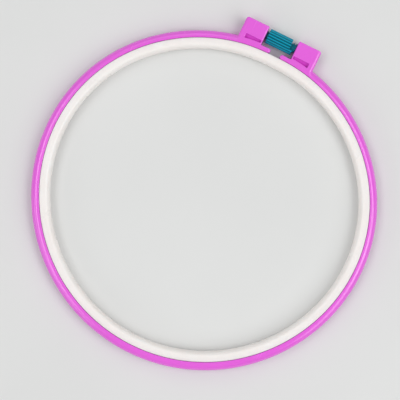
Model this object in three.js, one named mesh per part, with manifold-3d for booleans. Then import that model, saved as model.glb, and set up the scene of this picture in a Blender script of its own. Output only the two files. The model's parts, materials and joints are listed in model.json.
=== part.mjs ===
// Embroidery hoop: a split outer ring with a clamp, a closed inner ring, and the screw that draws the
// outer ring shut. The hoop lies flat with +Z up, and +Y runs from the middle towards the clamp.
// The origin is under the middle of the whole object, on the surface that it lies on. Millimetres.

import * as THREE from "three";
import { mergeVertices } from "three/addons/utils/BufferGeometryUtils.js";
import Module from "manifold-3d";

// Rings. Their radii are those of round rings; the clamp's pull then bends both.
const ringHeight = 10.5;
const seamRadius = 104.15; // to the middle of the gap between the rings
const ringClearance = 0.3; // width of that gap
const innerWall = 6.3; // at half height, where the section is widest
const outerWall = 5.45; // at half height, halfway between the clamp and the far side
const wallTaper = 0.4; // the outer wall is this much thinner at the clamp and thicker opposite it
const innerRound = 2.6; // depth of the inner ring's half-round inside
const outerRound = 3.9; // depth of the outer ring's half-round outside
const seamEdge = 0.4; // chamfers along the gap between the rings
const squeeze = 1.55; // the rings get this much shorter along Y and longer along X
const flattening = 0.5; // the rings get this much flatter at the clamp, in three lobes
const pinch = 0.6; // and this much more right at the clamp, where the outer ring is thin
const pinchSpread = 0.16; // how far the pinch reaches to each side, in radians

// Clamp on the outer ring
const tongueGap = 6.9; // between the tips of the ring's thin ends
const tongueThickness = 3;
const lugLength = 15.8; // along the screw
const lugWallOutside = 1.2; // from the bore to the lug's outer face
const lugWallInside = 1.75; // from the bore to the pocket
const lugCorner = 1.7; // far outer corners
const lugEdge = 0.5; // chamfer round the lugs' top and bottom
const pocketBand = 3.9; // ring wall left beside each pocket
const pocketEndWall = 0.9; // between pocket and clamp gap
const pocketLength = 10.8;
const pocketDepth = 3;

// Adjusting screw
const barrelLength = 15.9;
const barrelInset = 0.2; // the barrel stays this far below the rings' top and above their foot
const barrelChamfer = 0.6;
const fluteCount = 16;
const fluteDepth = 0.65;
const stopLength = 2.05; // of the stop on the barrel's +X end
const stopFrom = 30; // degrees from the top towards the rings, where the stop starts
const stopTo = 100; // and where it ends
const tongueToBarrel = 2.55;
const gapLeft = 1.4; // from the barrel to the lug on the -X side
const gapRight = 3.75; // from the barrel to the lug on the +X side
const shoulder = 1.65; // step from the barrel down to each threaded end
const boreClearance = 0.3; // round each threaded end
const engagement = 11; // length of a threaded end inside its lug
const endChamfer = 0.8;
const mouthChamfer = 0.5; // at both mouths of each bore

// Fineness of the curves
const ringSteps = 180;
const boreSteps = 32;
const fluteSteps = 6;
const bulgeSteps = 10; // over the half-round side of a ring's section

// Worked out from the sizes above
const innerRingOuter = seamRadius - ringClearance / 2;
const innerRingInner = innerRingOuter - innerWall;
const outerRingInner = seamRadius + ringClearance / 2;
const outerRingOuter = outerRingInner + outerWall;
const clampGap = gapLeft + barrelLength + gapRight;
const lugNear = clampGap / 2;
const lugFar = lugNear + lugLength;
const barrelRadius = ringHeight / 2 - barrelInset;
const threadRadius = barrelRadius - shoulder;
const boreRadius = threadRadius + boreClearance;
const axisHeight = ringHeight / 2;
const clampReach = outerRingInner - squeeze - flattening - pinch;
const axisReach = clampReach + tongueThickness + tongueToBarrel + barrelRadius;
const lugInner = axisReach - boreRadius - lugWallInside;
const lugOuter = axisReach + boreRadius + lugWallOutside;
const barrelMiddle = (gapLeft - gapRight) / 2;
const farReach = outerRingOuter + wallTaper - squeeze + flattening;
const ringMiddleY = (farReach - lugOuter) / 2;
const cutMargin = 5; // how far a cutting solid runs past what it cuts
const reachRounds = 6; // rounds that find the angle where a bent circle has a given X

const wasm = await Module();
wasm.setup();

// A closed geometry as a solid that can be joined and cut.
function solidOf(geometry) {
  const bare = new THREE.BufferGeometry();
  bare.setAttribute("position", geometry.getAttribute("position"));
  bare.setIndex(geometry.getIndex());
  const merged = mergeVertices(bare, 1e-4);
  const vertProperties = new Float32Array(merged.getAttribute("position").array);
  const triVerts = new Uint32Array(merged.getIndex().array);
  return new wasm.Manifold(new wasm.Mesh({ numProp: 3, vertProperties, triVerts }));
}

// A solid as a geometry again, with flat-shaded faces.
function geometryOf(solid) {
  const { vertProperties, triVerts } = solid.getMesh();
  const indexed = new THREE.BufferGeometry();
  indexed.setAttribute("position", new THREE.BufferAttribute(vertProperties, 3));
  indexed.setIndex(new THREE.BufferAttribute(triVerts, 1));
  const geometry = indexed.toNonIndexed();
  geometry.computeVertexNormals();
  return geometry;
}

// How far the clamp moves a point of a round ring outwards, at an angle from +X.
function lobe(angle) {
  const offClamp = (angle - Math.PI / 2) / pinchSpread;
  return flattening * Math.sin(3 * angle) - pinch * Math.exp(-(offClamp ** 2));
}

// Bends a round geometry as the clamp bends the rings. Each point moves by the same amount at every
// radius, so walls keep their thickness.
function bent(geometry) {
  const position = geometry.getAttribute("position");
  for (let i = 0; i < position.count; i++) {
    const x = position.getX(i);
    const y = position.getY(i);
    const radius = Math.hypot(x, y);
    if (radius > squeeze) {
      const angle = Math.atan2(y, x);
      position.setX(i, (radius + squeeze + lobe(angle)) * Math.cos(angle));
      position.setY(i, (radius - squeeze + lobe(angle)) * Math.sin(angle));
    }
  }
  return geometry;
}

// How far from the rings' middle along Y a bent circle of a given radius lies at a given X.
function bentReach(radius, x) {
  let angle = Math.PI / 2;
  for (let round = 0; round < reachRounds; round++) {
    angle = Math.acos(x / (radius + squeeze + lobe(angle)));
  }
  return (radius - squeeze + lobe(angle)) * Math.sin(angle);
}

// Thins a round ring's wall towards +Y and thickens it towards -Y. Its bore stays as it is.
function tapered(geometry, inner, outer, taper) {
  const position = geometry.getAttribute("position");
  for (let i = 0; i < position.count; i++) {
    const x = position.getX(i);
    const y = position.getY(i);
    const radius = Math.hypot(x, y);
    const share = (radius - inner) / (outer - inner);
    const scale = 1 - (taper * share * y) / radius ** 2;
    position.setX(i, x * scale);
    position.setY(i, y * scale);
  }
  return geometry;
}

// A section from the foot to the top: upright along the gap between the rings, and half-round on the side
// that shows. The arc is half an ellipse, as deep as given.
function halfRoundSection(atGap, widest, depth) {
  const away = Math.sign(widest - atGap);
  const arc = Array.from({ length: bulgeSteps + 1 }, (_, i) => {
    const angle = (i / bulgeSteps - 0.5) * Math.PI;
    const past = away * depth * (1 - Math.cos(angle));
    return new THREE.Vector2(widest - past, axisHeight * (1 + Math.sin(angle)));
  });
  const section = [
    new THREE.Vector2(atGap, seamEdge),
    new THREE.Vector2(atGap + away * seamEdge, 0),
    ...arc,
    new THREE.Vector2(atGap + away * seamEdge, ringHeight),
    new THREE.Vector2(atGap, ringHeight - seamEdge),
  ];
  return away > 0 ? section : section.reverse();
}

// A section with upright sides, chamfered on its four edges.
function flatSection(inner, outer) {
  return [
    new THREE.Vector2(inner, seamEdge),
    new THREE.Vector2(inner + seamEdge, 0),
    new THREE.Vector2(outer - seamEdge, 0),
    new THREE.Vector2(outer, seamEdge),
    new THREE.Vector2(outer, ringHeight - seamEdge),
    new THREE.Vector2(outer - seamEdge, ringHeight),
    new THREE.Vector2(inner + seamEdge, ringHeight),
    new THREE.Vector2(inner, ringHeight - seamEdge),
  ];
}

// A section turned into a round ring.
function roundRing(section) {
  return new THREE.LatheGeometry([...section, section[0].clone()], ringSteps).rotateX(Math.PI / 2);
}

// An upright cylinder, bent as the rings are and taller than they are, for trimming the clamp.
function bentCylinder(radius) {
  const height = ringHeight + 2 * cutMargin;
  const cylinder = new THREE.CylinderGeometry(radius, radius, height, ringSteps);
  return solidOf(bent(cylinder.rotateX(Math.PI / 2)).translate(0, 0, axisHeight));
}

// An upright block with the given outline, chamfered round its top and bottom.
function block(outline, bottom, top, chamfer = 0) {
  const geometry = new THREE.ExtrudeGeometry(outline, {
    depth: top - bottom - 2 * chamfer,
    bevelEnabled: chamfer > 0,
    bevelThickness: chamfer,
    bevelSize: chamfer,
    bevelOffset: -chamfer,
    bevelSegments: 1,
    curveSegments: boreSteps / 4,
  });
  return solidOf(geometry.translate(0, 0, bottom + chamfer));
}

function rectangle(left, right, near, far) {
  return new THREE.Shape()
    .moveTo(left, near)
    .lineTo(right, near)
    .lineTo(right, far)
    .lineTo(left, far)
    .closePath();
}

// A block that cuts right through the rings' height.
function cutter(left, right, near, far) {
  return block(rectangle(left, right, near, far), -cutMargin, ringHeight + cutMargin);
}

// The lug on the +X side: a block from inside the ring's wall out to its outer face.
function lugBlock() {
  const root = bentReach(outerRingInner, lugFar);
  const outline = new THREE.Shape()
    .moveTo(lugNear, root)
    .lineTo(lugFar, root)
    .lineTo(lugFar, lugOuter - lugCorner)
    .absarc(lugFar - lugCorner, lugOuter - lugCorner, lugCorner, 0, Math.PI / 2, false)
    .lineTo(lugNear, lugOuter)
    .closePath();
  const offWall = bentCylinder(outerRingInner + 2 * seamEdge);
  return block(outline, 0, ringHeight, lugEdge).subtract(offWall);
}

// The pocket that is moulded between the ring and a lug, open at the top.
function pocket() {
  const near = lugNear + pocketEndWall;
  const far = near + pocketLength;
  const inside = rectangle(near, far, bentReach(outerRingInner, far), lugInner);
  return block(inside, ringHeight - pocketDepth, ringHeight + cutMargin).subtract(
    bentCylinder(outerRingInner + pocketBand),
  );
}

// The bore through a lug, with a chamfer at each mouth.
function bore() {
  const mouth = boreRadius + mouthChamfer;
  const profile = [
    new THREE.Vector2(0, lugNear - cutMargin),
    new THREE.Vector2(mouth, lugNear - cutMargin),
    new THREE.Vector2(mouth, lugNear),
    new THREE.Vector2(boreRadius, lugNear + mouthChamfer),
    new THREE.Vector2(boreRadius, lugFar - mouthChamfer),
    new THREE.Vector2(mouth, lugFar),
    new THREE.Vector2(mouth, lugFar + cutMargin),
    new THREE.Vector2(0, lugFar + cutMargin),
  ];
  const round = new THREE.LatheGeometry(profile, boreSteps).rotateZ(-Math.PI / 2);
  return solidOf(round.translate(0, axisReach, axisHeight));
}

// The rounded tip of a tongue, centred on the tongue's middle line.
function tongueTip() {
  const radius = tongueThickness / 2;
  const x = tongueGap / 2 + radius;
  const outline = new THREE.Shape().absarc(
    x,
    bentReach(outerRingInner + radius, x),
    radius,
    0,
    2 * Math.PI,
    false,
  );
  return block(outline, 0, ringHeight, lugEdge);
}

// The outer ring is one moulding: the split ring, its two thin ends and both lugs.
function outerRing() {
  const section = halfRoundSection(outerRingInner, outerRingOuter, outerRound);
  const round = tapered(roundRing(section), outerRingInner, outerRingOuter, wallTaper);
  const thin = roundRing(flatSection(outerRingInner, outerRingInner + tongueThickness));
  const insideLugs = lugNear + lugLength / 2;
  const clampZone = cutter(-insideLugs, insideLugs, 0, lugOuter + cutMargin);
  const tipMiddle = (tongueGap + tongueThickness) / 2;
  const split = cutter(-tipMiddle, tipMiddle, 0, lugOuter + cutMargin);
  const tongues = solidOf(bent(thin)).intersect(clampZone);
  const opened = solidOf(bent(round)).subtract(clampZone).add(tongues).subtract(split);
  const sides = [tongueTip(), lugBlock()].flatMap((part) => [part, part.mirror([1, 0, 0])]);
  const hollows = [pocket(), bore()].flatMap((part) => [part, part.mirror([1, 0, 0])]);
  const joined = sides.reduce((whole, part) => whole.add(part), opened);
  return hollows.reduce((whole, part) => whole.subtract(part), joined);
}

function innerRing() {
  return solidOf(bent(roundRing(halfRoundSection(innerRingOuter, innerRingInner, innerRound))));
}

// The stop on the barrel's +X end: a sector that stands on the threaded end and is level with the barrel.
function stop() {
  const from = Math.PI + THREE.MathUtils.degToRad(stopFrom);
  const to = Math.PI + THREE.MathUtils.degToRad(stopTo);
  const outline = new THREE.Shape()
    .absarc(0, 0, barrelRadius, from, to, false)
    .absarc(0, 0, threadRadius / 2, to, from, true)
    .closePath();
  const start = barrelLength / 2 - barrelChamfer;
  const sector = block(outline, start, barrelLength / 2 + stopLength, barrelChamfer / 2);
  return sector.rotate([0, 90, 0]);
}

// The screw is one turned form along its axis, and its barrel is fluted by drawing points inwards.
function adjustingScrew() {
  const half = barrelLength / 2;
  const left = half + gapLeft + engagement;
  const right = half + gapRight + engagement;
  const profile = [
    new THREE.Vector2(0, -left),
    new THREE.Vector2(threadRadius - endChamfer, -left),
    new THREE.Vector2(threadRadius, -left + endChamfer),
    new THREE.Vector2(threadRadius, -half),
    new THREE.Vector2(barrelRadius - barrelChamfer, -half),
    new THREE.Vector2(barrelRadius, -half + barrelChamfer),
    new THREE.Vector2(barrelRadius, half - barrelChamfer),
    new THREE.Vector2(barrelRadius - barrelChamfer, half),
    new THREE.Vector2(threadRadius, half),
    new THREE.Vector2(threadRadius, right - endChamfer),
    new THREE.Vector2(threadRadius - endChamfer, right),
    new THREE.Vector2(0, right),
  ];
  const geometry = new THREE.LatheGeometry(profile, fluteCount * fluteSteps);
  const position = geometry.getAttribute("position");
  for (let i = 0; i < position.count; i++) {
    const x = position.getX(i);
    const z = position.getZ(i);
    const radius = Math.hypot(x, z);
    if (radius > barrelRadius - barrelChamfer / 2) {
      const wave = (1 + Math.cos(fluteCount * Math.atan2(x, z))) / 2;
      const share = 1 - (fluteDepth * wave) / radius;
      position.setX(i, x * share);
      position.setZ(i, z * share);
    }
  }
  return solidOf(geometry.rotateZ(-Math.PI / 2)).add(stop());
}

const pinkPlastic = new THREE.MeshStandardMaterial({ color: 0xe868da, roughness: 0.35, metalness: 0 });
const creamPlastic = new THREE.MeshStandardMaterial({ color: 0xf3f0eb, roughness: 0.4, metalness: 0 });
const tealPlastic = new THREE.MeshStandardMaterial({ color: 0x148296, roughness: 0.35, metalness: 0 });

function piece(name, solid, material, x, y, z) {
  const mesh = new THREE.Mesh(geometryOf(solid), material);
  mesh.name = name;
  mesh.position.set(x, y, z);
  return mesh;
}

// Both rings share their middle, which lies behind the origin by the reach of the clamp.
const rings = new THREE.Group();
rings.position.y = ringMiddleY;
rings.add(
  piece("outer_ring", outerRing(), pinkPlastic, 0, 0, 0),
  piece("inner_ring", innerRing(), creamPlastic, 0, 0, 0),
  piece("adjusting_screw", adjustingScrew(), tealPlastic, barrelMiddle, axisReach, axisHeight),
);

const hoop = new THREE.Group();
hoop.name = "embroidery_hoop";
hoop.add(rings);

export default hoop;
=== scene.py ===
"""Embroidery hoop seen from above: a pink split ring with a lug clamp, a cream inner ring and a teal screw.

All three pieces are built here as fine meshes round the fixed frame. Sizes are in millimetres, and are
turned into metres when a mesh is made. The rings lie flat, and +Y points from their middle to the clamp.
TINY keeps a divisor above zero.
"""

import json
import math

import bpy
import numpy as np
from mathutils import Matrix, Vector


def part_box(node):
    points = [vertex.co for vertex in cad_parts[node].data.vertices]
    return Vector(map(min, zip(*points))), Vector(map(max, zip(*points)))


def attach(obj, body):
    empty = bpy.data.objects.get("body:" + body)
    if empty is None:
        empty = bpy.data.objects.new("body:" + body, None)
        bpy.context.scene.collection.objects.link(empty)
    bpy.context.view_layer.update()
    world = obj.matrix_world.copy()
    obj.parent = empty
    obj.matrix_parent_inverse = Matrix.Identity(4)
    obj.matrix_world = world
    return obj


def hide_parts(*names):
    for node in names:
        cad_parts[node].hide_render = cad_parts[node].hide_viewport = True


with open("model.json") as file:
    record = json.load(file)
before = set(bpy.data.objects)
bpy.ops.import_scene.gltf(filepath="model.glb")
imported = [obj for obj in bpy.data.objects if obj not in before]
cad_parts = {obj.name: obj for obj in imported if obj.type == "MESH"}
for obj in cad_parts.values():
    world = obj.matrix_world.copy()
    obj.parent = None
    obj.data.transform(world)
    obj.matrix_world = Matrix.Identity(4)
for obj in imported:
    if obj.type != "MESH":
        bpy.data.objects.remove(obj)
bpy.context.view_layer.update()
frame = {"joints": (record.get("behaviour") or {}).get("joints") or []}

MM = 0.001
TINY = 1e-6


def box_mm(node):
    """Lowest and highest corner of a frame node, in millimetres."""
    low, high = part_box(node)
    return np.array(low) / MM, np.array(high) / MM


# Sizes of the rings

# The clamp bends them: shorter along Y by the squeeze, flatter in three lobes, and once more right at the
# clamp, by the pinch, whose spread is in radians. The seam fill makes the gap between the rings narrower
# on each side, because it shows as a fine line.
FLATTENING = 0.5
PINCH = 0.6
PINCH_SPREAD = 0.16
INNER_WALL = 6.3
OUTER_WALL = 5.45
WALL_TAPER = 0.4
INNER_ROUND = 2.6
OUTER_ROUND = 4.3
SEAM_EDGE = 0.3
SEAM_FILL = 0.02

# Sizes of the clamp

# A pocket starts at its depth on the outer side, and its floor slopes down from there towards the rings.
TONGUE_GAP = 6.9
TONGUE_THICKNESS = 3.0
TONGUE_EDGE = 0.9
LUG_LENGTH = 15.8
LUG_WALL_INSIDE = 1.75
LUG_CORNER = 1.7
LUG_NEAR_CORNER = 0.6
LUG_EDGE = 0.7
LUG_FAR_EDGE = 1.8
LUG_NEAR_EDGE = 0.9
LUG_ROOT = 1.0
CORNER_FILLET = 0.7
POCKET_BAND = 3.9
POCKET_END_WALL = 0.9
POCKET_LENGTH = 10.8
POCKET_DEPTH = 1.2
POCKET_SLOPE = 1.1
POCKET_CORNER = 0.4
POCKET_RIM = 0.25
GAP_LEFT = 1.4
GAP_RIGHT = 3.75
BORE_CLEARANCE = 0.3
MOUTH_EDGE = 0.5

# Sizes of the screw

# The stop's two sides and the turn of the flutes are in degrees from the top towards the rings. A tooth of
# the thread falls from its peak, cut off at 1, by its slope for each pitch from its middle. The shades say
# how far painted shade darkens the necks, from 0 to 1.
BARREL_LENGTH = 15.9
BARREL_EDGE = 0.6
SHOULDER = 1.65
STOP_LENGTH = 2.05
STOP_FROM = 44
STOP_TO = 100
STOP_EDGE = 0.8
FLUTE_COUNT = 16
FLUTE_DEPTH = 0.8
FLUTE_SHAPE = 1.6
FLUTE_TURN = 10.9
THREAD_PITCH = 2.0
THREAD_DEPTH = 0.75
THREAD_END = 1.0
TOOTH_PEAK = 1.6
TOOTH_SLOPE = 4.2
NECK_LENGTH = 0.6
NECK_SHADE = 0.7
LEFT_NECK_SHADE = 1.0

# Sizes that the frame gives, and what follows from them

# The margin keeps the outer ring inside its box.
MARGIN = 0.01
inner_low, inner_high = box_mm("inner_ring")
outer_high = box_mm("outer_ring")[1]
screw_low, screw_high = box_mm("adjusting_screw")
screw_joint = next(joint for joint in frame["joints"] if joint["name"] == "screw_turn")
half_wide, half_long = (inner_high - inner_low)[:2] / 2

RING_HEIGHT = inner_high[2]
SQUEEZE = (half_wide - half_long - PINCH / 2) / 2
MIDDLE_Y = (inner_low[1] + inner_high[1]) / 2 + FLATTENING + PINCH / 2
SCREW_X, SCREW_Y, SCREW_Z = np.array(screw_joint["pos_m"]) / MM
INNER_OUTSIDE = half_wide - SQUEEZE + SEAM_FILL
INNER_INSIDE = half_wide - SQUEEZE - INNER_WALL
OUTER_OUTSIDE = outer_high[0] - SQUEEZE - MARGIN
OUTER_INSIDE = outer_high[0] - SQUEEZE - OUTER_WALL - SEAM_FILL
LUG_NEAR = (GAP_LEFT + BARREL_LENGTH + GAP_RIGHT) / 2
LUG_FAR = LUG_NEAR + LUG_LENGTH
LUG_MIDDLE = LUG_NEAR + LUG_LENGTH / 2
LUG_OUTER = outer_high[1] - MIDDLE_Y - MARGIN
AXIS_REACH = SCREW_Y - MIDDLE_Y
BARREL_RADIUS = (screw_high[2] - screw_low[2]) / 2
THREAD_RADIUS = BARREL_RADIUS - SHOULDER
BORE_RADIUS = THREAD_RADIUS + BORE_CLEARANCE
LUG_INNER = AXIS_REACH - BORE_RADIUS - LUG_WALL_INSIDE
POCKET_FLOOR = RING_HEIGHT - POCKET_DEPTH


# Rounded joins of fields

# A field is a signed distance that is negative inside the material.


def round_max(a, b, radius):
    """Where both fields are negative, with the edge between them rounded."""
    inside = np.minimum(np.maximum(a, b), -radius)
    return inside + np.hypot(np.maximum(a + radius, 0), np.maximum(b + radius, 0))


def round_min(a, b, radius):
    """Where either field is negative, with a fillet in the corner between them."""
    outside = np.maximum(np.minimum(a, b), radius)
    return outside - np.hypot(np.maximum(radius - a, 0), np.maximum(radius - b, 0))


# The bend that the clamp gives to the rings


def lobe(angle):
    """How far the bend moves a round ring outwards, besides the squeeze, at an angle from +X."""
    at_clamp = np.exp(-2 * (1 - np.sin(angle)) / PINCH_SPREAD**2)
    return FLATTENING * np.sin(3 * angle) - PINCH * at_clamp


def bent(radius, angle):
    """Where the bend takes a point of the round rings."""
    wide = radius + SQUEEZE + lobe(angle)
    long = radius - SQUEEZE + lobe(angle)
    return wide * np.cos(angle), long * np.sin(angle)


def unbent(x, y):
    """The radius and angle that a point has on the round rings, found in a few rounds."""
    angle = np.arctan2(y, x)
    radius = np.hypot(x, y)
    for _ in range(4):
        off_x = x - lobe(angle) * np.cos(angle)
        off_y = y - lobe(angle) * np.sin(angle)
        wide = radius + SQUEEZE
        long = radius - SQUEEZE
        off = (off_x / wide) ** 2 + (off_y / long) ** 2 - 1
        radius = radius + off / (2 * (off_x**2 / wide**3 + off_y**2 / long**3))
        angle = np.arctan2(off_y / (radius - SQUEEZE), off_x / (radius + SQUEEZE))
    return radius, angle


def half_round(past, level):
    """The outer ring's section: half an ellipse past the flat part, from its distance and level."""
    high = RING_HEIGHT / 2
    past = np.maximum(past, 0)
    share = np.maximum(np.hypot(past / OUTER_ROUND, level / high), TINY)
    steepness = np.maximum(np.hypot(past / OUTER_ROUND**2, level / high**2), TINY)
    return share * (share - 1) / steepness


def outer_ring_field(x, y, z):
    """The split ring with its tongues and lugs, in coordinates from the rings' middle."""
    side = np.abs(x)
    radius, angle = unbent(x, y)
    off_bore = OUTER_INSIDE - radius
    slab = np.abs(z - RING_HEIGHT / 2) - RING_HEIGHT / 2
    sides = round_max(off_bore, slab, SEAM_EDGE)

    outside = OUTER_OUTSIDE - WALL_TAPER * np.sin(angle)
    ring = half_round(radius - outside + OUTER_ROUND, z - RING_HEIGHT / 2)
    ring = np.where(y > 0, np.maximum(ring, LUG_MIDDLE - side), ring)

    tongue = np.maximum(off_bore, radius - OUTER_INSIDE - TONGUE_THICKNESS)
    tongue = round_max(tongue, TONGUE_GAP / 2 - side, TONGUE_THICKNESS / 2)
    tongue = np.maximum(tongue, side - LUG_MIDDLE)
    tongue = np.where(y > 0, tongue, OUTER_OUTSIDE)

    lug = round_max(side - LUG_FAR, y - LUG_OUTER, LUG_CORNER)
    lug = round_max(lug, LUG_NEAR - side, LUG_NEAR_CORNER)
    lug = np.maximum(lug, off_bore + LUG_ROOT)
    lug = np.where(y > 0, lug, OUTER_OUTSIDE)

    lug = round_max(lug, slab, LUG_EDGE)
    lug = np.maximum(lug, round_max(side - LUG_FAR, slab, LUG_FAR_EDGE))
    lug = np.maximum(lug, round_max(LUG_NEAR - side, slab, LUG_NEAR_EDGE))
    clamp = round_min(round_max(tongue, slab, TONGUE_EDGE), lug, CORNER_FILLET)
    whole = np.maximum(round_min(clamp, ring, CORNER_FILLET), sides)

    pocket_near = LUG_NEAR + POCKET_END_WALL
    pocket = round_max(pocket_near - side, side - pocket_near - POCKET_LENGTH, POCKET_CORNER)
    pocket = round_max(pocket, y - LUG_INNER, POCKET_CORNER)
    pocket = round_max(pocket, OUTER_INSIDE + POCKET_BAND - radius, POCKET_CORNER)
    pocket_floor = POCKET_FLOOR - POCKET_SLOPE * (LUG_INNER - y)
    above_floor = (pocket_floor - z) / math.hypot(1, POCKET_SLOPE)
    pocket = round_max(pocket, above_floor, POCKET_CORNER)
    pocket = np.where(y > 0, pocket, OUTER_OUTSIDE)
    whole = round_max(whole, -pocket, POCKET_RIM)

    bore = np.hypot(y - AXIS_REACH, z - SCREW_Z) - BORE_RADIUS
    return round_max(whole, -bore, MOUTH_EDGE)


# A mesh of the place where a field is zero


def steps_between(*stops):
    """Grid values through the given (value, step) stops; each step holds up to the next value."""
    values = []
    for (start, step), (end, _) in zip(stops, stops[1:]):
        count = max(1, round((end - start) / step))
        values.extend(np.linspace(start, end, count, endpoint=False))
    return np.array(values + [stops[-1][0]])


def zero_surface(field, angles, radii, heights):
    """Points and quads where a field is zero, on a polar grid that closes on itself in angle.

    Each grid cell that the surface crosses gets one point, in the middle of the crossings on its edges.
    Each grid edge that the surface crosses gets one quad, between the four cells round it.
    """
    turn, reach, level = np.meshgrid(angles, radii, heights, indexing="ij")
    values = field(*bent(reach, turn), level)
    values = np.concatenate([values, values[:1]])
    inside = values < 0

    corners = [(i, j, k) for i in (0, 1) for j in (0, 1) for k in (0, 1)]
    shape = tuple(size - 1 for size in values.shape)
    windows = [tuple(slice(c, c + n) for c, n in zip(corner, shape)) for corner in corners]
    full = sum(inside[window].astype(np.int8) for window in windows)
    cells = np.argwhere((full > 0) & (full < len(corners)))
    number = np.full(shape, -1)
    number[tuple(cells.T)] = np.arange(len(cells))

    total = np.zeros((len(cells), 3))
    count = np.zeros(len(cells))
    for a in corners:
        for axis in range(3):
            if a[axis]:
                continue
            b = tuple(1 if i == axis else c for i, c in enumerate(a))
            at_a = values[tuple((cells + a).T)]
            at_b = values[tuple((cells + b).T)]
            crossed = (at_a < 0) != (at_b < 0)
            share = at_a[crossed] / (at_a[crossed] - at_b[crossed])
            point = np.array(a, float) + np.outer(share, np.array(b) - np.array(a))
            total[crossed] += point
            count[crossed] += 1
    place = cells + total / count[:, None]

    closed_angles = np.append(angles, angles[0] + 2 * np.pi)
    turn = np.interp(place[:, 0], np.arange(len(closed_angles)), closed_angles)
    reach = np.interp(place[:, 1], np.arange(len(radii)), radii)
    level = np.interp(place[:, 2], np.arange(len(heights)), heights)
    points = np.stack([*bent(reach, turn), level], axis=1)

    quads = []
    for axis in range(3):
        first, second = [other for other in range(3) if other != axis]
        low = [slice(None)] * 3
        high = [slice(None)] * 3
        low[axis] = slice(0, -1)
        high[axis] = slice(1, None)
        before = inside[tuple(low)]
        after = inside[tuple(high)]
        edges = np.argwhere(before != after)
        if axis == 0:
            edges = edges[(edges[:, first] > 0) & (edges[:, second] > 0)]
        else:
            edges = edges[edges[:, 0] < shape[0]]
        around = []
        for back_first, back_second in ((1, 1), (0, 1), (0, 0), (1, 0)):
            cell = edges.copy()
            cell[:, first] -= back_first
            cell[:, second] -= back_second
            cell[:, 0] %= shape[0]
            around.append(number[tuple(cell.T)])
        ring = np.stack(around, axis=1)
        turned = before[tuple(edges.T)] != (axis == 1)
        ring[turned] = ring[turned][:, ::-1]
        quads.append(ring)
    return points, np.concatenate(quads)


def field_slope(field, points, reach=0.02):
    """The field's gradient at each point, by central differences."""
    columns = []
    for axis in range(3):
        step = np.zeros(3)
        step[axis] = reach
        ahead = field(*(points + step).T)
        behind = field(*(points - step).T)
        columns.append((ahead - behind) / (2 * reach))
    return np.stack(columns, axis=1)


def settle(field, points, rounds=6, longest=0.15):
    """Moves each point onto the surface, a short way at a time, and gives the surface's normals there."""
    for _ in range(rounds):
        slope = field_slope(field, points)
        size = np.maximum((slope**2).sum(1), TINY)
        shift = field(*points.T)[:, None] * slope / size[:, None]
        length = np.linalg.norm(shift, axis=1, keepdims=True)
        points = points - shift * np.minimum(1, longest / np.maximum(length, TINY))
    slope = field_slope(field, points)
    return points, slope / np.linalg.norm(slope, axis=1, keepdims=True)


def mesh_object(name, points, faces, normals=None):
    """A smooth-shaded object from points in millimetres."""
    mesh = bpy.data.meshes.new(name)
    mesh.from_pydata((points * MM).tolist(), [], faces)
    mesh.validate()
    mesh.shade_smooth()
    if normals is not None:
        mesh.normals_split_custom_set_from_vertices(normals.tolist())
    thing = bpy.data.objects.new(name, mesh)
    bpy.context.scene.collection.objects.link(thing)
    return thing


def outer_ring():
    """The outer ring, from its field: fine steps round the clamp and coarse ones elsewhere."""
    beside_lug = 2
    fine = 0.17
    coarse = 1.5
    step = 0.3
    inwards = 0.9
    outwards = 0.6
    clamp = math.degrees(math.atan2(LUG_FAR + beside_lug, AXIS_REACH))
    degrees = steps_between(
        (90 - clamp, fine), (90 + clamp, coarse), (450 - clamp, coarse)
    )[:-1]
    far_reach = math.hypot(LUG_FAR, LUG_OUTER) + SQUEEZE + FLATTENING
    radii = steps_between((OUTER_INSIDE - inwards, step), (far_reach + outwards, step))
    heights = steps_between((-outwards, step), (RING_HEIGHT + outwards, step))
    points, faces = zero_surface(outer_ring_field, np.radians(degrees), radii, heights)
    points, normals = settle(outer_ring_field, points)
    points[:, 1] += MIDDLE_Y
    return mesh_object("pink_outer_ring", points, faces.tolist(), normals)


# Swept and turned forms


def arc(middle_x, middle_y, radius, start, steps):
    """Points of a quarter turn to the left, from a start in quarter turns."""
    angles = (start + np.linspace(0, 1, steps + 1)) * np.pi / 2
    return np.stack([middle_x + radius * np.cos(angles), middle_y + radius * np.sin(angles)], axis=1)


def swept(sections):
    """Faces between closed rows of points, each row joined to the next and the last to the first."""
    rows, columns = sections.shape[:2]
    index = np.arange(rows * columns).reshape(rows, columns)
    next_row = np.roll(index, -1, axis=0)
    next_both = np.roll(next_row, -1, axis=1)
    next_column = np.roll(index, -1, axis=1)
    return np.stack([index, next_row, next_both, next_column], axis=-1).reshape(-1, 4)


def inner_ring():
    """The inner ring: half an ellipse inside and two rounded edges outside, swept round the oval."""
    high = RING_HEIGHT / 2
    section_steps = 32
    edge_steps = 8
    ring_steps = 288
    half_turns = np.linspace(0.5, 1.5, section_steps + 1)[:, None] * np.pi
    inside = [INNER_INSIDE + INNER_ROUND, high] + [INNER_ROUND, high] * np.concatenate(
        [np.cos(half_turns), np.sin(half_turns)], axis=1
    )
    section = np.concatenate([
        inside,
        arc(INNER_OUTSIDE - SEAM_EDGE, SEAM_EDGE, SEAM_EDGE, 3, edge_steps),
        arc(INNER_OUTSIDE - SEAM_EDGE, RING_HEIGHT - SEAM_EDGE, SEAM_EDGE, 0, edge_steps),
    ])
    angles = np.linspace(0, 2 * np.pi, ring_steps, endpoint=False)[:, None]
    x, y = bent(section[:, 0], angles)
    z = np.broadcast_to(section[:, 1], x.shape)
    sections = np.stack([x, y + MIDDLE_Y, z], axis=-1)
    return mesh_object("cream_inner_ring", sections.reshape(-1, 3), swept(sections).tolist())


def smooth_step(value):
    """A value held between 0 and 1, with the change between them softened at both ends."""
    value = np.clip(value, 0, 1)
    return value * value * (3 - 2 * value)


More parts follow.
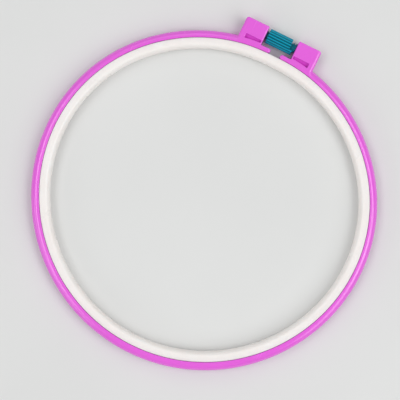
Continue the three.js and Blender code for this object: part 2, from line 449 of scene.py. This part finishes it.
def rounded_in(depth, radius):
    """How far a rounded edge falls back, at a depth from the face that it starts from."""
    share = np.clip(1 - depth / radius, 0, 1)
    return radius * (1 - np.sqrt(1 - share**2))


def groove(turn):
    """How deep in a groove of the barrel an angle lies, from 0 on a ridge to 1 at the bottom."""
    wave = np.cos(FLUTE_COUNT * (turn + math.radians(FLUTE_TURN)))
    return ((1 + wave) / 2) ** FLUTE_SHAPE


def screw_radius(along, turn):
    """The screw's radius at a place along its axis and an angle round it, from the barrel's middle.

    The angle is 0 at the top and negative towards the rings.
    """
    in_stop = (along > 0) & (turn <= -math.radians(STOP_FROM)) & (turn >= -math.radians(STOP_TO))
    off_stop_side = np.minimum(-math.radians(STOP_FROM) - turn, turn + math.radians(STOP_TO))
    past_barrel = np.abs(along) - BARREL_LENGTH / 2
    past = np.where(in_stop, past_barrel - STOP_LENGTH, past_barrel)

    barrel = BARREL_RADIUS - np.maximum(FLUTE_DEPTH * groove(turn), rounded_in(-past, BARREL_EDGE))
    beside = np.where(past_barrel > 0, rounded_in(off_stop_side * BARREL_RADIUS, STOP_EDGE), 0)
    barrel = barrel - beside

    end = np.where(along > 0, screw_high[0] - SCREW_X, SCREW_X - screw_low[0])
    phase = past_barrel / THREAD_PITCH - np.sign(along) * turn / (2 * np.pi)
    tooth = smooth_step(TOOTH_PEAK - TOOTH_SLOPE * np.abs(phase - np.floor(phase) - 0.5))
    run_out = smooth_step((past_barrel - NECK_LENGTH) / THREAD_END)
    run_in = smooth_step((end - np.abs(along)) / THREAD_END)
    thread = THREAD_RADIUS - THREAD_DEPTH * (1 - tooth * run_out * run_in)
    return np.where(past < 0, barrel, thread)


def adjusting_screw():
    """The screw: closed rows of points along its axis, and a middle point at each end.

    The rows stand close together at the ends of the barrel and the stop, where the radius changes most.
    """
    half = BARREL_LENGTH / 2
    close_step = 0.001
    thread_step = 0.2
    stop_step = 0.1
    barrel_step = 1.5
    edge_step = BARREL_EDGE / 10
    steps_in_flute = 15
    along = steps_between(
        (screw_low[0] - SCREW_X, thread_step),
        (-half - close_step, close_step),
        (-half, edge_step),
        (-half + BARREL_EDGE, barrel_step),
        (half - BARREL_EDGE, edge_step),
        (half, close_step),
        (half + close_step, stop_step),
        (half + STOP_LENGTH - BARREL_EDGE, edge_step),
        (half + STOP_LENGTH, close_step),
        (half + STOP_LENGTH + close_step, thread_step),
        (screw_high[0] - SCREW_X, thread_step),
    )
    turns = np.linspace(-np.pi, np.pi, FLUTE_COUNT * steps_in_flute, endpoint=False)
    place, turn = np.meshgrid(along, turns, indexing="ij")
    radius = screw_radius(place, turn)
    x = place + SCREW_X
    y = radius * np.sin(turn) + SCREW_Y
    z = radius * np.cos(turn) + SCREW_Z
    points = np.stack([x, y, z], axis=-1)
    rows, columns = points.shape[:2]
    faces = swept(points)[: (rows - 1) * columns]

    ends = [[screw_low[0], SCREW_Y, SCREW_Z], [screw_high[0], SCREW_Y, SCREW_Z]]
    first = np.arange(columns)
    last = first + (rows - 1) * columns
    left_middle = np.full(columns, rows * columns)
    left = np.stack([first, np.roll(first, -1), left_middle], axis=1)
    right = np.stack([np.roll(last, -1), last, left_middle + 1], axis=1)
    everything = np.concatenate([points.reshape(-1, 3), ends])
    all_faces = faces.tolist() + left.tolist() + right.tolist()
    thing = mesh_object("teal_adjusting_screw", everything, all_faces)

    # Painted shade, kept in a point attribute: the barrel is darkened in its grooves, and the necks all
    # round.
    on_barrel = radius > THREAD_RADIUS + STOP_EDGE
    neck_shade = np.where(place < 0, LEFT_NECK_SHADE, NECK_SHADE)
    shade = np.where(on_barrel, groove(turn), neck_shade).ravel()
    layer = thing.data.attributes.new("painted_shade", "FLOAT", "POINT")
    layer.data.foreach_set("value", np.append(shade, [LEFT_NECK_SHADE, NECK_SHADE]))
    return thing


# Materials

# The scales say about how many features of the noise a metre holds. Its values lie round 0.5, and most of
# them within the noise range. The shares make the colour darker below 1 and lighter above it, and what is
# called most is how far a tint may replace the colour. The depth of the peel is in metres.
NOISE_RANGE = (0.3, 0.7)
DRIFT_SCALE = 22
DRIFT_SHARES = (0.965, 1.03)
SPECKLE_SCALE = 900
SPECKLE_RANGE = (0.35, 0.65)
SPECKLE_SHARE = 0.95
SPECKLE_MOST = 0.35
EDGE_RANGE = (0.515, 0.57)
EDGE_SHARE = 1.35
EDGE_MOST = 0.2
# How painted shade darkens a colour: the range of its attribute, the dark tint, and how far the tint may
# go.
PAINTED_SHADE_RANGE = (0.1, 0.9)
PAINTED_SHADE_SHARE = 0.22
PAINTED_SHADE_MOST = 0.9
SCRATCH_SCALE = 1500
SCRATCH_TURN = (0, 0, 0.6)
SCRATCH_STRETCH = (1, 0.02, 0.3)
SCRATCH_RANGE = (0.66, 0.74)
SCRATCH_ROUGHNESS = 0.12
PATCH_SCALE = 60
PATCH_SMOOTHER = 0.04
PATCH_ROUGHER = 0.05
PEEL_SCALES = (1800, 500)
PEEL_STRENGTH = 0.25
PEEL_DEPTH = 0.00006


def linear(red, green, blue):
    """A colour given in 8-bit screen values, as the light values that a shader takes."""
    shares = [value / 255 for value in (red, green, blue)]
    return tuple(
        share / 12.92 if share <= 0.04045 else ((share + 0.055) / 1.055) ** 2.4 for share in shares
    ) + (1.0,)


def tinted(colour, share):
    """A colour made darker by a share below 1, or lighter by one above it."""
    return tuple(min(1.0, part * share) for part in colour[:3]) + (1.0,)


class Tree:
    """Adds nodes to a material and links them."""

    def __init__(self, material):
        self.nodes = material.node_tree.nodes
        self.links = material.node_tree.links

    def add(self, kind, settings=None, **inputs):
        """A node with its settings, and its inputs by name: a value, or another node's output."""
        node = self.nodes.new(kind)
        for key, value in (settings or {}).items():
            setattr(node, key, value)
        for key, value in inputs.items():
            self.set(node, key.replace("_", " "), value)
        return node

    def set(self, node, socket, value):
        """Sets an input, given by name or number: to a value, or by a link from a node's output."""
        if isinstance(value, bpy.types.NodeSocket):
            self.links.new(value, node.inputs[socket])
        else:
            node.inputs[socket].default_value = value

    def noise(self, place, scale, detail=2.0):
        """Soft noise, with finer noise on it where the detail is higher."""
        node = self.add("ShaderNodeTexNoise", Vector=place, Scale=scale, Detail=detail)
        return node.outputs["Fac"]

    def spread(self, value, low, high, to_low, to_high):
        """The value moved from one range to another, and held inside it."""
        node = self.add("ShaderNodeMapRange", Value=value)
        for socket, number in (
            ("From Min", low), ("From Max", high), ("To Min", to_low), ("To Max", to_high),
        ):
            self.set(node, socket, number)
        return node.outputs["Result"]

    def blend(self, share, first, second):
        """One colour turning into another. A mix of colours uses inputs 0, 6 and 7 and output 2."""
        node = self.add("ShaderNodeMix", {"data_type": "RGBA"})
        self.set(node, 0, share)
        self.set(node, 6, first)
        self.set(node, 7, second)
        return node.outputs[2]

    def sum(self, first, second):
        """Two values added."""
        node = self.add("ShaderNodeMath", {"operation": "ADD"})
        self.set(node, 0, first)
        self.set(node, 1, second)
        return node.outputs[0]


def plastic(name, colour, roughness, shine, depth, share_below):
    """Moulded plastic.

    Its colour drifts a little from place to place, is paler along worn edges, and is darker with painted
    shade where a mesh carries it in a point attribute. Its gloss has cloudy patches and faint scratches,
    and its surface a slight orange peel. Light goes a little way in: a share of it scatters below the
    surface, as deep as given in metres.
    """
    material = bpy.data.materials.new(name)
    material.use_nodes = True
    tree = Tree(material)
    shader = tree.nodes["Principled BSDF"]
    place = tree.add("ShaderNodeTexCoord").outputs["Object"]
    point = tree.add("ShaderNodeNewGeometry").outputs["Pointiness"]

    darker, lighter = [tinted(colour, share) for share in DRIFT_SHARES]
    drift = tree.spread(tree.noise(place, DRIFT_SCALE, detail=3), *NOISE_RANGE, 0, 1)
    speckle = tree.spread(tree.noise(place, SPECKLE_SCALE), *SPECKLE_RANGE, 0, SPECKLE_MOST)
    clouded = tree.blend(drift, darker, lighter)
    mottled = tree.blend(speckle, clouded, tinted(colour, SPECKLE_SHARE))
    edges = tree.spread(point, *EDGE_RANGE, 0, EDGE_MOST)
    worn = tree.blend(edges, mottled, tinted(colour, EDGE_SHARE))
    # Painted shade: where a mesh carries it in a point attribute, the colour turns towards a dark tint.
    painted_shade = tree.add("ShaderNodeAttribute", {"attribute_name": "painted_shade"}).outputs["Fac"]
    painted_darkening = tree.spread(painted_shade, *PAINTED_SHADE_RANGE, 0, PAINTED_SHADE_MOST)
    tree.set(shader, "Base Color", tree.blend(painted_darkening, worn, tinted(colour, PAINTED_SHADE_SHARE)))

    along = tree.add("ShaderNodeMapping", Vector=place, Rotation=SCRATCH_TURN, Scale=SCRATCH_STRETCH)
    lines = tree.noise(along.outputs["Vector"], SCRATCH_SCALE, detail=1)
    scratches = tree.spread(lines, *SCRATCH_RANGE, 0, SCRATCH_ROUGHNESS)
    smoothest = roughness - PATCH_SMOOTHER
    roughest = roughness + PATCH_ROUGHER
    clouds = tree.noise(place, PATCH_SCALE, detail=3)
    patches = tree.spread(clouds, *NOISE_RANGE, smoothest, roughest)
    tree.set(shader, "Roughness", tree.sum(patches, scratches))

    fine_peel, coarse_peel = [tree.noise(place, scale) for scale in PEEL_SCALES]
    peel = tree.sum(fine_peel, coarse_peel)
    bump = tree.add("ShaderNodeBump", Strength=PEEL_STRENGTH, Distance=PEEL_DEPTH, Height=peel)
    tree.set(shader, "Normal", bump.outputs["Normal"])

    tree.set(shader, "Specular IOR Level", shine)
    tree.set(shader, "Subsurface Weight", share_below)
    tree.set(shader, "Subsurface Scale", depth)
    tree.set(shader, "Subsurface Radius", tuple(colour[:3]))
    return material


def paint(thing, material):
    """Makes a material the only one on an object."""
    thing.data.materials.clear()
    thing.data.materials.append(material)


# The stage: floor, lamps and camera

# The clamp's turn is in degrees, from straight up in the picture.
PHOTO_SIZE = 400
RING_MIDDLE_PX = (203.65, 199.58)
CLAMP_TURN = 26.1
CAMERA_HEIGHT = 650.0
PX_PER_MM = 1.55
SENSOR = 36.0
FLOOR_SIZE = 6
LAMP_DISTANCE = 1.6
WORLD_STRENGTH = 0.38
FLOOR_DRIFT_SCALE = 8
FLOOR_SHARES = (0.985, 1.015)
FLOOR_PATCH_SCALE = 40
FLOOR_ROUGHNESS = (0.85, 0.95)


def stage():
    """A plain pale floor under the hoop."""
    bpy.ops.mesh.primitive_plane_add(size=FLOOR_SIZE)
    floor = bpy.context.object
    floor.name = "floor"
    material = bpy.data.materials.new("floor")
    material.use_nodes = True
    tree = Tree(material)
    shader = tree.nodes["Principled BSDF"]
    place = tree.add("ShaderNodeTexCoord").outputs["Object"]
    darker, lighter = [tinted(linear(223, 224, 223), share) for share in FLOOR_SHARES]
    drift = tree.spread(tree.noise(place, FLOOR_DRIFT_SCALE, detail=3), *NOISE_RANGE, 0, 1)
    tree.set(shader, "Base Color", tree.blend(drift, darker, lighter))
    patches = tree.noise(place, FLOOR_PATCH_SCALE)
    tree.set(shader, "Roughness", tree.spread(patches, *NOISE_RANGE, *FLOOR_ROUGHNESS))
    paint(floor, material)


def camera():
    """Straight above the hoop, turned so that the clamp lies where the photograph has it."""
    roll = math.radians(CLAMP_TURN)
    right = np.array([math.cos(roll), math.sin(roll)])
    up = np.array([-math.sin(roll), math.cos(roll)])
    middle = PHOTO_SIZE / 2
    off_right = (RING_MIDDLE_PX[0] - middle) / PX_PER_MM
    off_up = (middle - RING_MIDDLE_PX[1]) / PX_PER_MM
    foot = np.array([0, MIDDLE_Y]) - off_right * right - off_up * up
    data = bpy.data.cameras.new("camera")
    data.sensor_width = SENSOR
    data.lens = SENSOR * PX_PER_MM * CAMERA_HEIGHT / PHOTO_SIZE
    thing = bpy.data.objects.new("camera", data)
    thing.location = (foot[0] * MM, foot[1] * MM, CAMERA_HEIGHT * MM)
    thing.rotation_euler = (0, 0, roll)
    bpy.context.scene.collection.objects.link(thing)
    bpy.context.scene.camera = thing


def lamp(name, clockwise, height, wide, tall, power):
    """A soft box that points at the hoop.

    Its side of the picture is in degrees clockwise from up, and its height in degrees above the floor.
    Its sides are in metres.
    """
    angle = math.radians(90 + CLAMP_TURN - clockwise)
    level = math.radians(height)
    data = bpy.data.lights.new(name, "AREA")
    data.shape = "RECTANGLE"
    data.size = wide
    data.size_y = tall
    data.energy = power
    thing = bpy.data.objects.new(name, data)
    thing.location = np.array([
        math.cos(angle) * math.cos(level), math.sin(angle) * math.cos(level), math.sin(level),
    ]) * LAMP_DISTANCE
    thing.rotation_euler = (math.pi / 2 - level, 0, angle + math.pi / 2)
    bpy.context.scene.collection.objects.link(thing)


def light():
    """Two soft boxes on the right and one on the left, two weak ones, and light from all round."""
    for name, clockwise, height, wide, tall, power in (
        ("high_right_box", 90, 62, 1.2, 0.6, 6.0),
        ("low_right_box", 119, 41, 1.3, 0.8, 6.0),
        ("left_box", 269, 62, 1.3, 0.6, 6.4),
        ("low_left_box", 245, 25, 1.3, 0.6, 3.0),
        ("top_box", 0, 45, 1.2, 0.6, 1.8),
    ):
        lamp(name, clockwise, height, wide, tall, power)
    world = bpy.data.worlds.new("world")
    world.use_nodes = True
    background = world.node_tree.nodes["Background"]
    background.inputs["Color"].default_value = (1, 1, 1, 1)
    background.inputs["Strength"].default_value = WORLD_STRENGTH
    bpy.context.scene.world = world


camera()
light()
stage()

pink, cream, teal = [
    plastic(name, linear(*screen_colour), roughness, shine, depth, share_below)
    for name, screen_colour, roughness, shine, depth, share_below in (
        ("pink_plastic", (236, 95, 227), 0.14, 1.0, 0.0008, 0.05),
        ("cream_plastic", (248, 242, 239), 0.3, 0.5, 0.003, 0.7),
        ("teal_plastic", (0, 154, 181), 0.24, 0.3, 0.0008, 0.05),
    )
]

for piece, node, slot, material in (
    (outer_ring(), "outer_ring", "pink_plastic", pink),
    (inner_ring(), "inner_ring", "cream_plastic", cream),
    (adjusting_screw(), "adjusting_screw", "teal_plastic", teal),
):
    paint(piece, material)
    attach(piece, node)
    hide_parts(node)

bpy.context.scene.view_settings.view_transform = "Standard"
